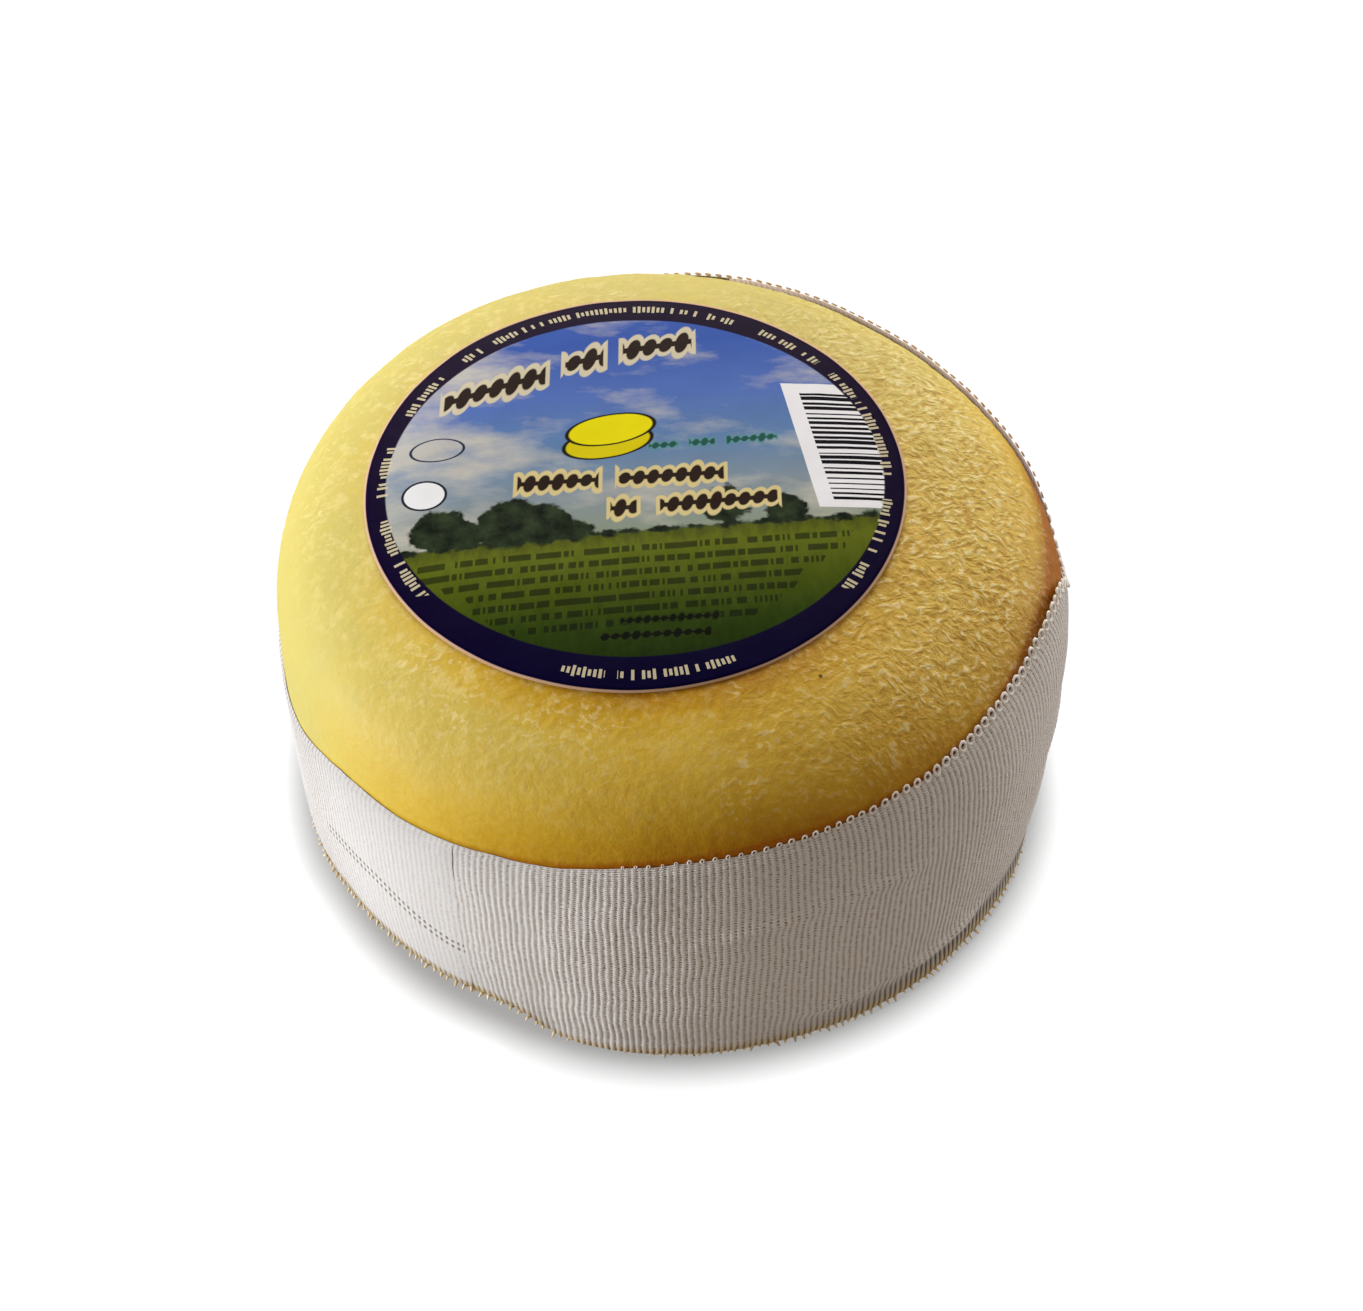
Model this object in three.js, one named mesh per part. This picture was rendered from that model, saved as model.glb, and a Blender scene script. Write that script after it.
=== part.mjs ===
// A small whole cheese wheel: the cheese itself, the strip of gauze bandage wrapped once around its
// side, and the round paper label stuck on its top. Millimetres, +Z up, standing on z = 0.
import * as THREE from "three";

// The wheel
const WHEEL_RADIUS = 66.2;
const WHEEL_HEIGHT = 68;
const WIDEST_HEIGHT = 33.5; // height at which the side bulges most
const BASE_RADIUS = 54.6; // flat round face it rests on
const SHOULDER_POWER = 4.2; // a higher power makes a squarer shoulder
const HEEL_POWER = 4.8; // and a squarer lower edge

// The mould and the hand turning leave the wheel a little out of round.
const OVAL_SHARE = 0.0207;
const OVAL_ANGLE = THREE.MathUtils.degToRad(-51);
const LOBE_SHARE = 0.0105;
const LOBE_ANGLE = THREE.MathUtils.degToRad(-12);

// The gauze band
const BAND_THICKNESS = 1.2;
const BAND_TOP = 52.3; // mean height of its upper edge
const BAND_TOP_TILT = 8.3; // the strip sits higher on the +X side
const BAND_TOP_WAVE = 2.4; // and higher at the front and the back
const BAND_BOTTOM = 1.9; // the lower edge turns in round the wheel's own lower edge
const BAND_BOTTOM_TILT = 0.4; // lowest at the angle below
const BAND_BOTTOM_ANGLE = THREE.MathUtils.degToRad(-35);

// The label
const LABEL_RADIUS = 44;
const LABEL_THICKNESS = 0.3;
const LABEL_X = -4.9;
const LABEL_Y = 2.6;

const GAP = 0.3; // clear space between touching pieces
const SEGMENTS = 60;
const PROFILE_STEPS = 9;
const BAND_STEPS = 10;
const LABEL_STEPS = 5;

const COLOURS = { rind: "#dcb95a", gauze: "#e9e6df", paper: "#3f6a86" };

// The side's distance from the axis at a height, before the out-of-round factor.
function sideRadius(height) {
  if (height >= WIDEST_HEIGHT) {
    const rise = (height - WIDEST_HEIGHT) / (WHEEL_HEIGHT - WIDEST_HEIGHT);
    const left = Math.max(0, 1 - rise ** SHOULDER_POWER);
    return WHEEL_RADIUS * left ** (1 / SHOULDER_POWER);
  }
  const drop = (WIDEST_HEIGHT - height) / WIDEST_HEIGHT;
  const left = Math.max(0, 1 - drop ** HEEL_POWER);
  return BASE_RADIUS + (WHEEL_RADIUS - BASE_RADIUS) * left ** (1 / HEEL_POWER);
}

function outOfRound(angle) {
  const oval = OVAL_SHARE * Math.cos(2 * (angle - OVAL_ANGLE));
  const lobes = LOBE_SHARE * Math.cos(3 * (angle - LOBE_ANGLE));
  return 1 + oval + lobes;
}

// The domed top's height at a point.
function topHeight(x, y) {
  const share = Math.hypot(x, y) / (WHEEL_RADIUS * outOfRound(Math.atan2(y, x)));
  const left = Math.max(0, 1 - share ** SHOULDER_POWER);
  return WIDEST_HEIGHT + (WHEEL_HEIGHT - WIDEST_HEIGHT) * left ** (1 / SHOULDER_POWER);
}

function bandTop(angle) {
  return BAND_TOP + BAND_TOP_TILT * Math.cos(angle) - BAND_TOP_WAVE * Math.cos(2 * angle);
}

function bandBottom(angle) {
  return BAND_BOTTOM - BAND_BOTTOM_TILT * Math.cos(angle - BAND_BOTTOM_ANGLE);
}

// Turns a profile about the +Z axis, then moves each of its points with place(point, angle).
function turned(profile, segments, place) {
  const geometry = new THREE.LatheGeometry(profile, segments);
  geometry.rotateX(Math.PI / 2);
  const positions = geometry.attributes.position;
  const point = new THREE.Vector3();
  for (let index = 0; index < positions.count; index += 1) {
    point.fromBufferAttribute(positions, index);
    place(point, Math.atan2(point.y, point.x));
    positions.setXYZ(index, point.x, point.y, point.z);
  }
  geometry.computeVertexNormals();
  return geometry;
}

function namedMesh(name, geometry, colour, roughness) {
  const material = new THREE.MeshStandardMaterial({ color: colour, roughness, metalness: 0 });
  const mesh = new THREE.Mesh(geometry, material);
  mesh.name = name;
  return mesh;
}

// The cheese: one solid, its profile two quarter superellipses between the base and the top's centre.
function cheeseGeometry() {
  const profile = [new THREE.Vector2(0, 0), new THREE.Vector2(BASE_RADIUS, 0)];
  for (let step = 1; step <= PROFILE_STEPS; step += 1) {
    const turn = (step / PROFILE_STEPS) * (Math.PI / 2);
    const out = (WHEEL_RADIUS - BASE_RADIUS) * Math.sin(turn) ** (2 / HEEL_POWER);
    const height = WIDEST_HEIGHT * (1 - Math.cos(turn) ** (2 / HEEL_POWER));
    profile.push(new THREE.Vector2(BASE_RADIUS + out, height));
  }
  for (let step = 1; step < PROFILE_STEPS; step += 1) {
    const turn = (step / PROFILE_STEPS) * (Math.PI / 2);
    const out = WHEEL_RADIUS * Math.cos(turn) ** (2 / SHOULDER_POWER);
    const rise = (WHEEL_HEIGHT - WIDEST_HEIGHT) * Math.sin(turn) ** (2 / SHOULDER_POWER);
    profile.push(new THREE.Vector2(out, WIDEST_HEIGHT + rise));
  }
  profile.push(new THREE.Vector2(0, WHEEL_HEIGHT));
  return turned(profile, SEGMENTS, (point, angle) => {
    const factor = outOfRound(angle);
    point.set(point.x * factor, point.y * factor, point.z);
  });
}

// The band: a closed ring whose inner and outer walls follow the side between its two edges. In its
// profile, x is 1 on the inner wall and 2 on the outer one, and y runs from 0 to 1 up the strip,
// in steps that shorten towards both edges, where the side curves most.
function bandGeometry() {
  const profile = [];
  const climb = (step) => (1 - Math.cos((Math.PI * step) / BAND_STEPS)) / 2;
  for (let step = 0; step <= BAND_STEPS; step += 1) {
    profile.push(new THREE.Vector2(2, climb(step)));
  }
  for (let step = BAND_STEPS; step >= 0; step -= 1) {
    profile.push(new THREE.Vector2(1, climb(step)));
  }
  profile.push(profile[0].clone());
  return turned(profile, SEGMENTS, (point, angle) => {
    const outside = Math.hypot(point.x, point.y) > 1.5;
    const share = point.z;
    const height = bandBottom(angle) + share * (bandTop(angle) - bandBottom(angle));
    const clearance = GAP + (outside ? BAND_THICKNESS : 0);
    const radius = sideRadius(height) * outOfRound(angle) + clearance;
    point.set(radius * Math.cos(angle), radius * Math.sin(angle), height);
  });
}

// The label: a thin disc that lies on the domed top.
function labelGeometry() {
  const profile = [];
  for (let step = 0; step <= LABEL_STEPS; step += 1) {
    profile.push(new THREE.Vector2((LABEL_RADIUS * step) / LABEL_STEPS, 0));
  }
  for (let step = LABEL_STEPS; step >= 0; step -= 1) {
    profile.push(new THREE.Vector2((LABEL_RADIUS * step) / LABEL_STEPS, LABEL_THICKNESS));
  }
  return turned(profile, SEGMENTS, (point) => {
    const x = point.x + LABEL_X;
    const y = point.y + LABEL_Y;
    point.set(x, y, topHeight(x, y) + GAP + point.z);
  });
}

const group = new THREE.Group();
group.add(namedMesh("cheese_wheel", cheeseGeometry(), COLOURS.rind, 0.45));
group.add(namedMesh("gauze_band", bandGeometry(), COLOURS.gauze, 0.95));
group.add(namedMesh("paper_label", labelGeometry(), COLOURS.paper, 0.5));

// The lobes throw the outline off its own middle, so the whole is centred on the Z axis.
const middle = new THREE.Box3().setFromObject(group, true).getCenter(new THREE.Vector3());
group.position.set(-middle.x, -middle.y, 0);

export default group;
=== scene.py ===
import math
import random

import bmesh
import bpy
from mathutils import Euler, Matrix, Vector, noise


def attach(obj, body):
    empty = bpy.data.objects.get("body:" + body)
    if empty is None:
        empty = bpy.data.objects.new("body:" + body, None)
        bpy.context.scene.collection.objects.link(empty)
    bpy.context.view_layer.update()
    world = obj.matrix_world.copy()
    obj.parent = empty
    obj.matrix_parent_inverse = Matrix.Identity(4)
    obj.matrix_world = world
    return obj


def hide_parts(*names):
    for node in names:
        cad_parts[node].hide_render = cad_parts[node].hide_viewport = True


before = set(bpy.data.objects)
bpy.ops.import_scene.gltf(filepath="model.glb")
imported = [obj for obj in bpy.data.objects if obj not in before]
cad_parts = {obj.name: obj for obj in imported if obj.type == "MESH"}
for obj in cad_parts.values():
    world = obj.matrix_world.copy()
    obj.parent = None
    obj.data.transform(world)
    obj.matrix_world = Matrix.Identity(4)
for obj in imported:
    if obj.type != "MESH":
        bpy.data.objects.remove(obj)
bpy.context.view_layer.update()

# The camera looks down on the standing wheel from in front of it, from about 40 cm away, as a person
# does who is about to pick it up.
MM = 0.001
CAMERA_DISTANCE = 402 * MM
CAMERA_ELEVATION = math.radians(49.8)
pole = max((v.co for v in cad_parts["cheese_wheel"].data.vertices), key=lambda co: co.z)
axis = Vector((pole.x, pole.y, 0))
wheel_height = pole.z
heart = axis + Vector((0, 0, wheel_height / 2))
camera = bpy.data.objects.new("camera", bpy.data.cameras.new("camera"))
camera.data.sensor_width = 36
camera.data.lens = 61.6
camera.location = heart + CAMERA_DISTANCE * Vector(
    (0, -math.cos(CAMERA_ELEVATION), math.sin(CAMERA_ELEVATION))
)
aim = heart + Vector((2.6, -4.1, -3.5)) * MM
camera.rotation_euler = (aim - camera.location).to_track_quat("-Z", "Y").to_euler()
bpy.context.collection.objects.link(camera)
bpy.context.scene.camera = camera


# The wheel stands on a white light table. One broad soft light stands behind it, a lower one to its
# left and a weak one to its right, and the warm room adds a little light from everywhere, so the side
# towards the camera is in shade.
def linear(hex_colour):
    """An sRGB hex colour as linear red, green, blue and alpha."""
    channels = [int(hex_colour[i : i + 2], 16) / 255 for i in (1, 3, 5)]
    return tuple(c / 12.92 if c <= 0.04045 else ((c + 0.055) / 1.055) ** 2.4 for c in channels) + (1,)


def add(tree, kind, inputs=(), stops=(), **settings):
    """Adds a node. An input is a value or another node's output, and stops are a colour ramp's."""
    made = tree.nodes.new("ShaderNode" + kind)
    for name, value in settings.items():
        setattr(made, name, value)
    for socket, value in dict(inputs).items():
        if isinstance(value, bpy.types.NodeSocket):
            tree.links.new(value, made.inputs[socket])
        else:
            made.inputs[socket].default_value = value
    for place, colour in stops[2:]:
        made.color_ramp.elements.new(place)
    for element, (place, colour) in zip(made.color_ramp.elements if stops else (), stops):
        element.position = place
        element.color = colour
    return made


def new_material(name):
    """An empty material, its node tree and its surface output."""
    material = bpy.data.materials.new(name)
    material.use_nodes = True
    material.node_tree.nodes.clear()
    return material, material.node_tree, add(material.node_tree, "OutputMaterial")


def finished(name, bm, material):
    """Makes the bmesh a smooth-shaded object of that material."""
    mesh = bpy.data.meshes.new(name)
    bm.to_mesh(mesh)
    bm.free()
    mesh.shade_smooth()
    mesh.materials.append(material)
    piece = bpy.data.objects.new(name, mesh)
    bpy.context.collection.objects.link(piece)
    return piece


def hang_light(name, azimuth, elevation, distance, size, power, tint="#ffffff"):
    """A square soft light that faces the wheel."""
    light = bpy.data.objects.new(name, bpy.data.lights.new(name, "AREA"))
    light.data.size = size
    light.data.energy = power
    light.data.color = linear(tint)[:3]
    place = Euler((0, -math.radians(elevation), math.radians(azimuth))).to_matrix() @ Vector((distance, 0, 0))
    light.location = heart + place
    light.rotation_euler = (-place).to_track_quat("-Z", "Y").to_euler()
    bpy.context.collection.objects.link(light)


floor_sheet, tree, surface = new_material("opal_light_table")
# The table glows, and ambient occlusion dims the glow near the wheel: a painted contact shadow.
openness = add(tree, "AmbientOcclusion", {"Distance": 8 * MM}, samples=16).outputs["AO"]
glow_less_painted_shadow = add(tree, "MapRange", {0: openness, 1: 0.48, 2: 0.94, 3: 0.36, 4: 1.0}).outputs[0]
shader = add(
    tree,
    "BsdfPrincipled",
    {
        "Base Color": linear("#404040"),
        "Roughness": 0.9,
        "Emission Color": linear("#ffffff"),
        "Emission Strength": glow_less_painted_shadow,
    },
)
tree.links.new(shader.outputs[0], surface.inputs[0])
bm = bmesh.new()
bmesh.ops.create_grid(bm, x_segments=1, y_segments=1, size=30)
floor = finished("floor", bm, floor_sheet)
floor.visible_diffuse = False
floor.visible_glossy = False

world = bpy.data.worlds.new("room")
world.use_nodes = True
world.node_tree.nodes["Background"].inputs["Color"].default_value = linear("#fff0e2")
world.node_tree.nodes["Background"].inputs["Strength"].default_value = 0.34
bpy.context.scene.world = world
bpy.context.scene.view_settings.view_transform = "Standard"
hang_light("back_light", azimuth=95, elevation=32, distance=1.2, size=0.9, power=11.5)
hang_light("left_light", azimuth=188, elevation=7, distance=1.0, size=0.35, power=11.6, tint="#f3f8ff")
hang_light("right_light", azimuth=30, elevation=12, distance=1.0, size=0.4, power=4)


# The cheese wheel: a semi-hard cured cheese, pressed in a round mould and turned by hand while it
# dried. Its rind is the cheese's own waxed skin, creased by the press cloth, pale on top and amber low
# on the side; painted shade deepens the amber towards the front right.
RADIUS = 66.2 * MM
BASE_RADIUS = 54.6 * MM
WIDEST_HEIGHT = 33.5 * MM
SHOULDER_POWER = 4.2
HEEL_POWER = 4.8
OVAL_SHARE, OVAL_ANGLE = 0.0207, math.radians(-51)
LOBE_SHARE, LOBE_ANGLE = 0.0105, math.radians(-12)
RIND_STEPS = 640
FINE_GAP = 0.62 * MM
COARSE_GAP = 2.5 * MM
BASE_RINGS = 9
HEEL_SAMPLES, SHOULDER_SAMPLES = 3000, 6000
# The cloth hides the rind below this height, and the label hides it nearer the axis than this.
HIDDEN_BELOW = 38 * MM
HIDDEN_WITHIN = 36 * MM
# A hollow near the floor, as its turn and spread in degrees and its depth.
HOLLOW_TURN = -114
HOLLOW_SPREAD = 11
HOLLOW_DEPTH = 0.9 * MM
# Two places on the top, seen from the axis.
LABEL_MIDDLE = Vector((-4.9, 2.6, 0)) * MM
PINHOLE = Vector((23.3, -38.0, 0)) * MM
# The headings of the press cloth's creases, in degrees, a crease's length, width and depth, and how far
# it bends.
CREASE_HEADINGS = (28, -32)
CREASE_SIZE = (1.6 * MM, 0.8 * MM, 1.2 * MM)
WARP_REACH = 3 * MM
# How many marks of each pattern lie along a length of rind: mottles 17 mm apart, patches 13 mm, changes
# of heading 5 mm, bends 4 mm, spots of fat 2.4 mm, pebbles 1.6 mm and grains 1.1 mm.
MOTTLES = 0.06 / MM
PATCHES = 0.075 / MM
CHANGES = 0.19 / MM
BENDS = 0.26 / MM
FAT_SPOTS = 0.42 / MM
PEBBLES = 0.62 / MM
GRAINS = 0.9 / MM

# The height of the cloth's upper edge round the wheel, in mm, at a turn in degrees: the rind is darker
# just above it.
TOP_EDGE = (
    (-158, 41),
    (-143, 47),
    (-128, 48.4),
    (-118, 50),
    (-105, 52),
    (-94, 54),
    (-78, 55.5),
    (-65, 56.4),
    (-52, 57),
    (-39, 58),
    (-27, 58.4),
    (-17, 58.2),
    (-10, 56),
    (-4, 49.5),
    (2, 48),
    (9, 51.6),
    (25, 56.2),
    (45, 58.4),
    (60, 59),
    (80, 57.4),
    (120, 50),
    (160, 43.5),
    (190, 40),
)


def out_of_round(angle):
    """The wheel's outline at an angle, as a share of its mean radius."""
    oval = OVAL_SHARE * math.cos(2 * (angle - OVAL_ANGLE))
    return 1 + oval + LOBE_SHARE * math.cos(3 * (angle - LOBE_ANGLE))


def heel(share):
    """The profile from the base's rim, at 0, to the widest height, at 1."""
    turn = share * math.pi / 2
    out = BASE_RADIUS + (RADIUS - BASE_RADIUS) * math.sin(turn) ** (2 / HEEL_POWER)
    return Vector((out, 0, WIDEST_HEIGHT * (1 - math.cos(turn) ** (2 / HEEL_POWER))))


def shoulder(share):
    """The profile from the widest height, at 0, to the middle of the top, at 1."""
    turn = share * math.pi / 2
    rise = (wheel_height - WIDEST_HEIGHT) * math.sin(turn) ** (2 / SHOULDER_POWER)
    return Vector((RADIUS * math.cos(turn) ** (2 / SHOULDER_POWER), 0, WIDEST_HEIGHT + rise))


def turned(points, steps):
    """A closed bmesh of a profile that starts and ends on the Z axis, turned about it."""
    made = bmesh.new()
    corners = [made.verts.new(point) for point in points]
    sides = [made.edges.new(pair) for pair in zip(corners, corners[1:])]
    bmesh.ops.spin(
        made, geom=corners + sides, axis=(0, 0, 1), angle=math.tau, steps=steps, use_merge=True
    )
    bmesh.ops.remove_doubles(made, verts=made.verts, dist=MM / 1000)
    bmesh.ops.recalc_face_normals(made, faces=made.faces)
    return made


def smooth_step(low, high, value):
    """0 below low, 1 above high, and a smooth rise between them."""
    share = min(1, max(0, (value - low) / (high - low)))
    return share * share * (3 - 2 * share)


def hollow(angle, height):
    """How far the side is pressed in near the floor at the front left, where the wheel lay on a rack."""
    turn = math.remainder(angle - math.radians(HOLLOW_TURN), math.tau) / math.radians(HOLLOW_SPREAD)
    return HOLLOW_DEPTH * math.exp(-turn * turn) * (1 - smooth_step(10 * MM, 30 * MM, height))


def along(edge, turn):
    """The height at a turn in degrees on a smooth closed line through the points of an edge."""
    turn = (turn - edge[0][0]) % 360 + edge[0][0]
    ring = [(edge[-1][0] - 360, edge[-1][1]), *edge]
    ring += [(edge[0][0] + 360, edge[0][1]), (edge[1][0] + 360, edge[1][1])]
    after = next(place for place in range(2, len(ring)) if ring[place][0] > turn)
    (t0, h0), (t1, h1), (t2, h2), (t3, h3) = ring[after - 2 : after + 2]
    share = (turn - t1) / (t2 - t1)
    leaving = (h2 - h0) / (t2 - t0) * (t2 - t1)
    arriving = (h3 - h1) / (t3 - t1) * (t2 - t1)
    square, cube = share**2, share**3
    middle = h1 * (2 * cube - 3 * square + 1) + h2 * (3 * square - 2 * cube)
    return MM * (middle + leaving * (cube - 2 * square + share) + arriving * (cube - square))


def unevenness(place):
    """The slow swell of a side that was turned and dried by hand."""
    spot = place / MM
    return MM * (0.34 * noise.noise(spot / 24) + 0.12 * noise.noise(spot / 8))


def rind_relief(place):
    """How far the rind stands out of the plain turned shape."""
    spot = place / MM
    facing = math.cos(math.atan2(place.y, place.x) - math.radians(15))
    pressed = 0.35 + 0.65 * smooth_step(-0.4, 0.7, facing + 0.4 * noise.noise(spot / 15))
    wander = noise.noise_vector(spot / 4) * 1.3
    near = noise.voronoi((spot + wander) / 2.6)[0]
    crease = 1 - min(1, (near[1] - near[0]) * 2.2)
    fine = noise.noise((spot + wander) / 1.7)
    shown = smooth_step(39, 44, spot.z)
    return unevenness(place) + MM * pressed * shown * (0.1 * fine - 0.13 * crease)


profile = [Vector((BASE_RADIUS * step / BASE_RINGS, 0, 0)) for step in range(BASE_RINGS)]
for arc, samples in ((heel, HEEL_SAMPLES), (shoulder, SHOULDER_SAMPLES)):
    for step in range(samples):
        point = arc(step / samples)
        hidden = point.z < HIDDEN_BELOW or point.x < HIDDEN_WITHIN
        if (point - profile[-1]).length > (COARSE_GAP if hidden else FINE_GAP):
            profile.append(point)
profile.append(Vector((0, 0, wheel_height)))

bm = turned(profile, RIND_STEPS)
for vertex in bm.verts:
    angle = math.atan2(vertex.co.y, vertex.co.x)
    factor = out_of_round(angle) - hollow(angle, vertex.co.z) / RADIUS
    vertex.co = Vector((vertex.co.x * factor, vertex.co.y * factor, vertex.co.z))
bm.normal_update()
above_cloth = bm.verts.layers.float.new("above_cloth")
for vertex in bm.verts:
    angle = math.atan2(vertex.co.y, vertex.co.x)
    vertex[above_cloth] = max(0, vertex.co.z - along(TOP_EDGE, math.degrees(angle)))
    if vertex.co.z > MM / 2:
        vertex.co += vertex.normal * rind_relief(vertex.co)
bmesh.ops.translate(bm, verts=bm.verts, vec=axis)

# Waxed cheese rind: light sinks a little way in, which warms the shade, and the thin wax gives a soft
# sheen. Short pale glints along the cloth creases are painted into its colour: painted highlights.
waxy_rind, tree, surface = new_material("waxed_cheese_rind")
place = add(tree, "TexCoord").outputs["Object"]
across = add(tree, "SeparateXYZ", {0: place}).outputs
mottle = add(tree, "TexNoise", {"Vector": place, "Scale": MOTTLES, "Detail": 4, "Roughness": 0.6}).outputs[0]
# The rind deepens from butter to amber towards the front right, and most of all low on the side:
# partly its own colour, partly painted shade on the sides turned from the lights.
low = add(
    tree, "MapRange", {0: across[2], 1: 65 * MM, 2: 50 * MM, 3: 0.0, 4: 0.75}, interpolation_type="SMOOTHSTEP"
).outputs[0]
amber_and_painted_shade = add(tree, "VectorMath", {0: place, 1: (0.6, -0.8, 0)}, operation="DOT_PRODUCT").outputs["Value"]
amber_and_painted_shade = add(tree, "MapRange", {0: amber_and_painted_shade, 1: -12 * MM, 2: 62 * MM, 3: 0.0, 4: 0.63}).outputs[0]
amber_and_painted_shade = add(tree, "Math", {0: low, 1: amber_and_painted_shade, 2: amber_and_painted_shade}, operation="MULTIPLY_ADD").outputs[0]
# The rind is more orange just above the cloth's edge, and deeper still low on the right side, away
# from the lights: partly painted shade.
above_cloth = add(tree, "Attribute", attribute_name="above_cloth").outputs["Fac"]
cloth_edge_orange = add(tree, "MapRange", {0: above_cloth, 1: 0.1 * MM, 2: 1.2 * MM, 3: 0.22, 4: 0.0}).outputs[0]
amber_and_painted_shade = add(tree, "Math", {0: amber_and_painted_shade, 1: cloth_edge_orange}, operation="ADD").outputs[0]
right_side = add(tree, "MapRange", {0: across[0], 1: 46 * MM, 2: 63 * MM}).outputs[0]
low_right_amber_and_shade = add(
    tree, "MapRange", {0: across[2], 1: 63 * MM, 2: 54 * MM, 3: 0.0, 4: 0.65}, interpolation_type="SMOOTHSTEP"
).outputs[0]
amber_and_painted_shade = add(tree, "Math", {0: low_right_amber_and_shade, 1: right_side, 2: amber_and_painted_shade}, operation="MULTIPLY_ADD").outputs[0]
# The rind is painted darker round the front of the label: painted shade.
seen_from_above = add(tree, "VectorMath", {0: place, 1: (1, 1, 0)}, operation="MULTIPLY").outputs[0]
from_label = add(
    tree, "VectorMath", {0: seen_from_above, 1: axis + LABEL_MIDDLE}, operation="DISTANCE"
).outputs["Value"]
label_front_painted_shade = add(tree, "MapRange", {0: from_label, 1: 43 * MM, 2: 52 * MM, 3: 0.5, 4: 0.0}).outputs[0]
forward = add(tree, "MapRange", {0: across[1], 1: -5 * MM, 2: -40 * MM, 3: 0.15, 4: 1.0}).outputs[0]
amber_and_painted_shade = add(tree, "Math", {0: label_front_painted_shade, 1: forward, 2: amber_and_painted_shade}, operation="MULTIPLY_ADD").outputs[0]
grain = add(tree, "TexNoise", {"Vector": place, "Scale": GRAINS, "Detail": 3, "Roughness": 0.65}).outputs[0]
amber_and_painted_shade = add(tree, "Math", {0: grain, 1: 0.24, 2: amber_and_painted_shade}, operation="MULTIPLY_ADD").outputs[0]
depth = add(tree, "Math", {0: mottle, 1: 0.36, 2: amber_and_painted_shade}, operation="MULTIPLY_ADD").outputs[0]
depth = add(tree, "Math", {0: depth, 1: 0.3}, operation="SUBTRACT", use_clamp=True).outputs[0]
skin = add(
    tree,
    "ValToRGB",
    {0: depth},
    stops=[
        (0.0, linear("#d1c26b")),
        (0.2, linear("#dac25e")),
        (0.45, linear("#dcb944")),
        (0.65, linear("#cfa526")),
        (0.85, linear("#b88410")),
        (1.0, linear("#aa6400")),
    ],
).outputs[0]
# The press cloth left creases about 1 mm wide that run across the wheel. They are deepest on the right,
# soft on the left, and lie in scattered patches along the front.
warp = add(tree, "TexNoise", {"Vector": place, "Scale": BENDS, "Detail": 2}).outputs["Color"]
bent = add(
    tree, "VectorMath", {0: warp, 1: (WARP_REACH,) * 3, 2: place}, operation="MULTIPLY_ADD"
).outputs[0]
crossing = []
for heading in CREASE_HEADINGS:
    laid = add(
        tree,
        "Mapping",
        {"Vector": bent, "Rotation": (0, 0, math.radians(heading)), "Scale": CREASE_SIZE},
        vector_type="TEXTURE",
    ).outputs[0]
    strokes = add(tree, "TexNoise", {"Vector": laid, "Scale": 1, "Detail": 2, "Roughness": 0.5})
    crossing.append(strokes.outputs[0])
swap = add(tree, "TexNoise", {"Vector": place, "Scale": CHANGES, "Detail": 1}).outputs[0]
swap = add(tree, "MapRange", {0: swap, 1: 0.5, 2: 0.62}).outputs[0]
crease = add(tree, "Mix", {0: swap, 2: crossing[0], 3: crossing[1]}).outputs[0]
to_right = add(tree, "MapRange", {0: across[0], 1: 5 * MM, 2: 45 * MM, 3: 0.0, 4: 0.9}).outputs[0]
patches = add(tree, "TexNoise", {"Vector": place, "Scale": PATCHES, "Detail": 2, "Roughness": 0.6}).outputs[0]
patches = add(tree, "MapRange", {0: patches, 1: 0.5, 2: 0.66, 3: 0.1, 4: 0.6}).outputs[0]
pressed = add(tree, "Math", {0: to_right, 1: patches}, operation="MAXIMUM").outputs[0]
high = add(tree, "MapRange", {0: across[2], 1: 57 * MM, 2: 64 * MM, 3: 0.08, 4: 1.0}).outputs[0]
pressed = add(tree, "Math", {0: pressed, 1: high}, operation="MULTIPLY").outputs[0]
# Pale mottles about 2 mm wide, where the fat shows through the wax, round the top on the left.
fatty = add(
    tree, "TexNoise", {"Vector": place, "Scale": FAT_SPOTS, "Detail": 3, "Roughness": 0.65}
).outputs[0]
fatty = add(tree, "MapRange", {0: fatty, 1: 0.5, 2: 0.66, 3: 0.0, 4: 0.45}).outputs[0]
to_left = add(tree, "MapRange", {0: across[0], 1: 20 * MM, 2: -30 * MM}).outputs[0]
fatty = add(tree, "Math", {0: fatty, 1: to_left}, operation="MULTIPLY").outputs[0]
fatty = add(tree, "Math", {0: fatty, 1: high}, operation="MULTIPLY").outputs[0]
skin = add(tree, "Mix", {0: fatty, 6: skin, 7: linear("#f0de94")}, data_type="RGBA").outputs[2]
# On the right the skin is dry and tan between the creases.
dry = add(tree, "Math", {0: to_right, 1: 0.22}, operation="MULTIPLY").outputs[0]
dry = add(tree, "Math", {0: dry, 1: high}, operation="MULTIPLY").outputs[0]
skin = add(tree, "Mix", {0: dry, 6: skin, 7: linear("#e2c796")}, data_type="RGBA").outputs[2]
# Pale strokes along the crease ridges are painted highlights.
painted_glint = add(tree, "MapRange", {0: crease, 1: 0.55, 2: 0.63, 3: 0.0, 4: 0.85}).outputs[0]
painted_glint = add(tree, "Math", {0: painted_glint, 1: pressed}, operation="MULTIPLY").outputs[0]
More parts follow.
